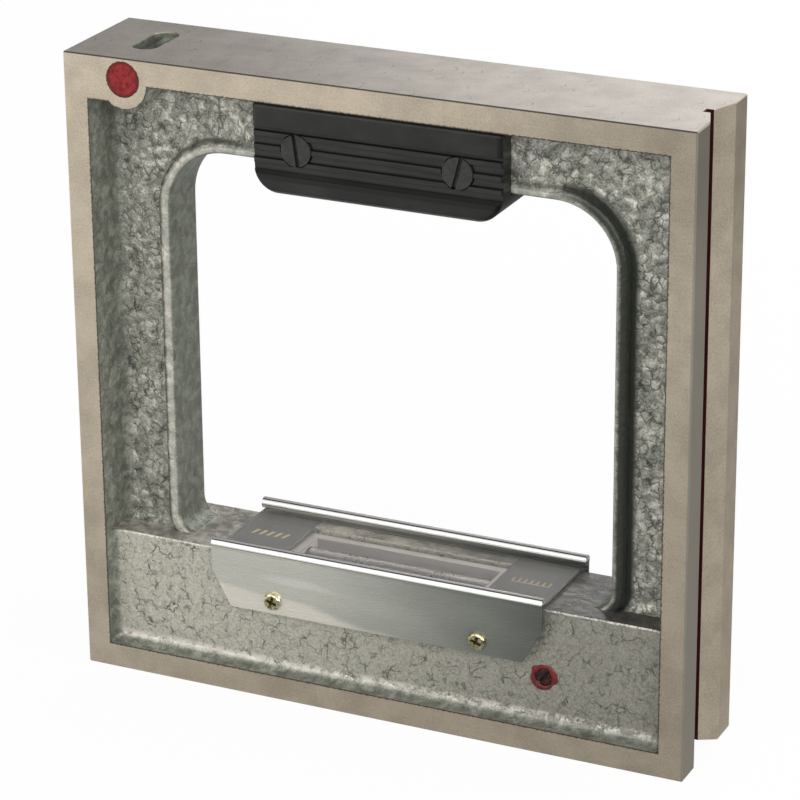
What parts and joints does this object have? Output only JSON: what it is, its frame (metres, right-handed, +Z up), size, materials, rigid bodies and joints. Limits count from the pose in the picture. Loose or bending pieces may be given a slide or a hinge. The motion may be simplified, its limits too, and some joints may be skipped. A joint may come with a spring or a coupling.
{
  "type": "square frame spirit level",
  "caption": "Square cast-iron frame level for machine setting, with flat and V-grooved working faces, a main and a cross vial, and an insulating grip.",
  "frame": {"origin": "middle of the base, in the plane of the two base lands", "axes": "+X along the level from the corner with the cross vial to the grooved side, +Y from the front with the sealed plug to the back, +Z up"},
  "size_m": [0.2, 0.04, 0.2],
  "materials": {
    "cast_iron": "ground faces, hammered grey-green paint in the recesses",
    "grip_moulding": "semi-gloss black moulding",
    "bright_steel": "turned and plated, satin",
    "blackened_steel": "turned and blackened, semi-gloss",
    "strip_steel": "brushed lengthwise, satin",
    "clear_cover": "clear moulding, polished",
    "dark_plate": "matt dark grey",
    "brass_screw": "passivated yellow, satin",
    "holder_steel": "ground, satin",
    "plaster": "matt, cast",
    "vial_glass": "clear, polished",
    "vial_liquid": "clear, tinted",
    "red_seal": "brushed-on sealing lacquer",
    "brass_tube": "drawn, satin"
  },
  "bodies": {
    "frame": {"frame_casting": "cast_iron", "front_grip": "grip_moulding", "rear_grip": "grip_moulding", "grip_screw_left": "blackened_steel", "grip_screw_right": "blackened_steel", "grip_nut_left": "blackened_steel", "grip_nut_right": "blackened_steel", "window_cover": "clear_cover", "left_mask": "dark_plate", "right_mask": "dark_plate", "front_strip": "strip_steel", "rear_strip": "strip_steel", "front_screw_left": "brass_screw", "front_screw_right": "brass_screw", "rear_screw_left": "brass_screw", "rear_screw_right": "brass_screw", "pivot_pin": "bright_steel", "cross_plug": "red_seal", "cross_sleeve": "brass_tube", "cross_glass": "vial_glass", "cross_liquid": "vial_liquid"},
    "vial_unit": {"vial_holder": "holder_steel", "vial_bedding": "plaster", "vial_glass": "vial_glass", "vial_liquid": "vial_liquid"},
    "zero_screw": {"zero_screw": "bright_steel"}
  },
  "joints": [
    {"name": "vial_tilt", "type": "hinge", "parent": "frame", "child": "vial_unit", "pos_m": [-0.047, 0, 0.036], "axis": [0, 1, 0], "range_deg": [-0.2, 0.2]},
    {"name": "zero_turn", "type": "hinge", "parent": "frame", "child": "zero_screw", "pos_m": [0.0535, 0, 0.0229], "axis": [0, 1, 0], "range_deg": [-45, 45]}
  ],
  "couplings": [
    {"joint": "zero_turn", "follows": "vial_tilt", "ratio": 224.37}
  ]
}
